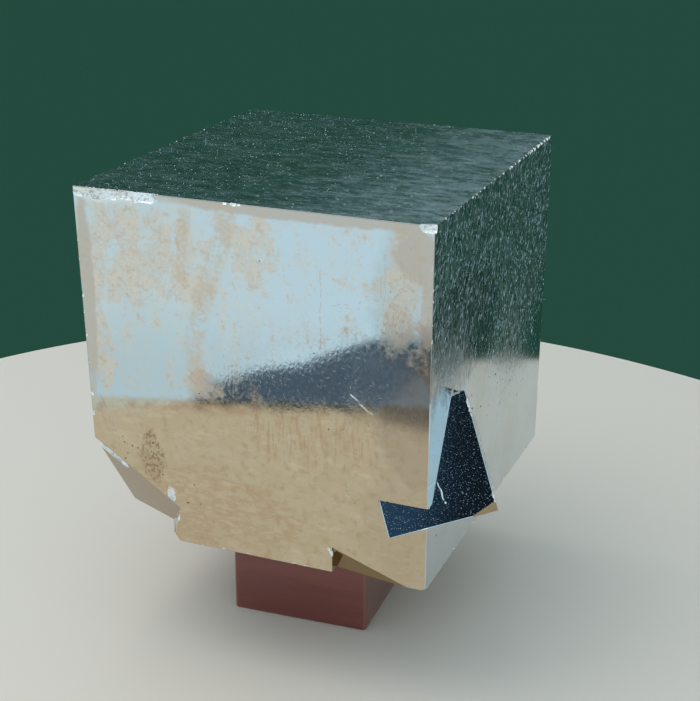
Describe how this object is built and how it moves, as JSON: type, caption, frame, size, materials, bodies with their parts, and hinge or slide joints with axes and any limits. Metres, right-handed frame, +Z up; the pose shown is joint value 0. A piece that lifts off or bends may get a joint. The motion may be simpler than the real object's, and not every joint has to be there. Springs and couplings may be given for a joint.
{
  "type": "pyrite cube",
  "caption": "Natural pyrite cube with a smaller crystal grown through one edge, standing on a small square wooden block.",
  "frame": {"origin": "middle of the underside of the block that the cube stands on", "axes": "+Z is up; +X runs to the right along the cube's large front face; +Y runs from the front face into the cube"},
  "size_m": [0.0439, 0.0417, 0.0511],
  "materials": {
    "pyrite": null,
    "stained_wood": "red-brown stained wood under satin varnish"
  },
  "bodies": {
    "root": {"pyrite_cube": "pyrite", "stand_block": "stained_wood"}
  },
  "joints": []
}
